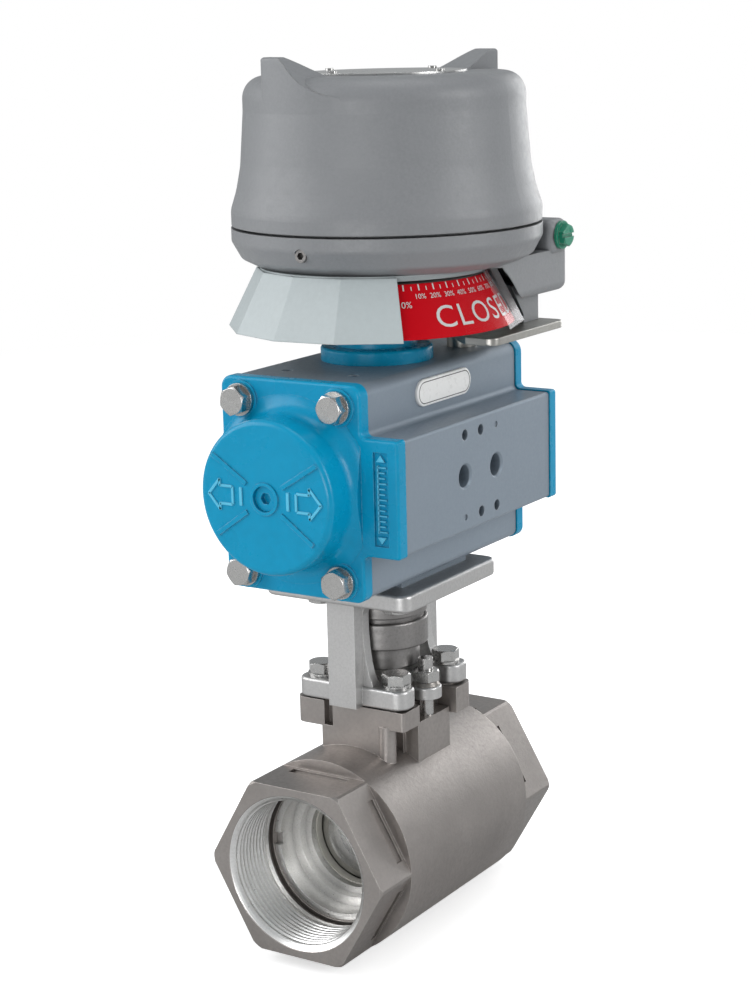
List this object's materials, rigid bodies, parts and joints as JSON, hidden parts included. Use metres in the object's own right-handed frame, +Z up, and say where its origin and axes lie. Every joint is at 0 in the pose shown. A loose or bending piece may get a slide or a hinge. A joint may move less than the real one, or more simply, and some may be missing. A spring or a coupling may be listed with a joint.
{
  "type": "pneumatic actuated ball valve",
  "caption": "Screwed steel ball valve driven by a rack and pinion air actuator, with a round position monitor and a cone-shaped open or closed indicator.",
  "frame": {"origin": "on the stem's axis, level with the lowest line of the round valve body, in the middle of the whole", "axes": "+Z up along the stem, Y along the pipe and the pistons with the end seen in front at -Y, +X towards the face with the air ports"},
  "size_m": [0.1212, 0.1582, 0.3475],
  "materials": {
    "cast_stainless": "satin, bead blasted casting",
    "bright_casting": "satin, bead blasted casting",
    "turned_stainless": "turned",
    "polished_ball": "polished",
    "seat_plastic": "smooth",
    "seal_rubber": "matt",
    "fastener_steel": "bright",
    "spring_steel": "satin",
    "dark_steel": "phosphated",
    "gear_steel": "machined",
    "grey_anodised": "satin hard anodised",
    "blue_coat": "gloss powder coat",
    "blue_trim": "coated",
    "bearing_plastic": "smooth",
    "piston_alloy": "machined",
    "badge_white": "satin, blank",
    "shroud_grey": "satin moulded",
    "clear_window": "clear polycarbonate",
    "rotor_plastic": "moulded",
    "red_panel": "gloss",
    "green_panel": "gloss",
    "sheet_stainless": "mill finish",
    "enclosure_grey": "textured powder coat",
    "plug_plastic": "moulded",
    "green_screw": "gloss",
    "board_green": "solder mask",
    "module_black": "moulded",
    "terminal_grey": "moulded",
    "target_plastic": "moulded",
    "plate_silver": "brushed, blank"
  },
  "bodies": {
    "housing": {"valve_body": "cast_stainless", "body_insert": "turned_stainless", "insert_o_ring": "seal_rubber", "ball_seats": "seat_plastic", "stem_thrust_washer": "seat_plastic", "stem_packing": "seat_plastic", "gland_follower": "turned_stainless", "gland_plate": "bright_casting", "gland_studs": "fastener_steel", "gland_springs": "spring_steel", "gland_nuts": "fastener_steel", "mounting_bracket": "bright_casting", "bracket_foot_bolts": "fastener_steel", "base_bolts": "fastener_steel", "bracket_washers": "fastener_steel", "actuator_body": "grey_anodised", "end_cap_front": "blue_coat", "end_cap_rear": "blue_coat", "end_cap_gaskets": "seal_rubber", "end_cap_washers": "fastener_steel", "end_cap_bolts": "fastener_steel", "travel_stops": "blue_trim", "pinion_bearings": "bearing_plastic", "pinion_seals": "seal_rubber", "top_collar": "blue_coat", "name_badge": "badge_white", "indicator_shroud": "shroud_grey", "indicator_windows": "clear_window", "monitor_bracket": "sheet_stainless", "bracket_spacers": "sheet_stainless", "monitor_bracket_screws": "fastener_steel", "monitor_foot_screws": "fastener_steel", "monitor_base": "enclosure_grey", "shaft_bushing": "bearing_plastic", "monitor_o_ring": "seal_rubber", "conduit_plug": "plug_plastic", "set_screw": "dark_steel", "ground_screw": "green_screw", "circuit_board": "board_green", "board_screws": "fastener_steel", "sensor_module": "module_black", "terminal_block": "terminal_grey"},
    "drive_train": {"ball": "polished_ball", "stem": "turned_stainless", "coupler": "dark_steel", "coupler_pin": "turned_stainless", "pinion": "gear_steel", "pinion_circlip": "spring_steel", "indicator_shaft": "turned_stainless", "indicator_rotor": "rotor_plastic", "closed_panels": "red_panel", "open_panels": "green_panel", "position_target": "target_plastic"},
    "front_piston": {"piston_front": "piston_alloy", "piston_o_ring_front": "seal_rubber"},
    "rear_piston": {"piston_rear": "piston_alloy", "piston_o_ring_rear": "seal_rubber"},
    "monitor_cover": {"cover": "enclosure_grey", "nameplate": "plate_silver", "nameplate_screws": "fastener_steel"}
  },
  "joints": [
    {"name": "quarter_turn", "type": "hinge", "parent": "housing", "child": "drive_train", "pos_m": [0, 0, 0.0395], "axis": [0, 0, 1], "range_deg": [0, 90]},
    {"name": "front_piston_slide", "type": "slide", "parent": "housing", "child": "front_piston", "axis": [0, -1, 0], "range_m": [0, 0.0178]},
    {"name": "rear_piston_slide", "type": "slide", "parent": "housing", "child": "rear_piston", "axis": [0, 1, 0], "range_m": [0, 0.0178]},
    {"name": "cover_lift", "type": "slide", "parent": "housing", "child": "monitor_cover", "axis": [0, 0, 1], "range_m": [0, 0.12]}
  ],
  "couplings": [
    {"joint": "front_piston_slide", "follows": "quarter_turn", "m_per_rad": 0.01125},
    {"joint": "rear_piston_slide", "follows": "quarter_turn", "m_per_rad": 0.01125}
  ]
}
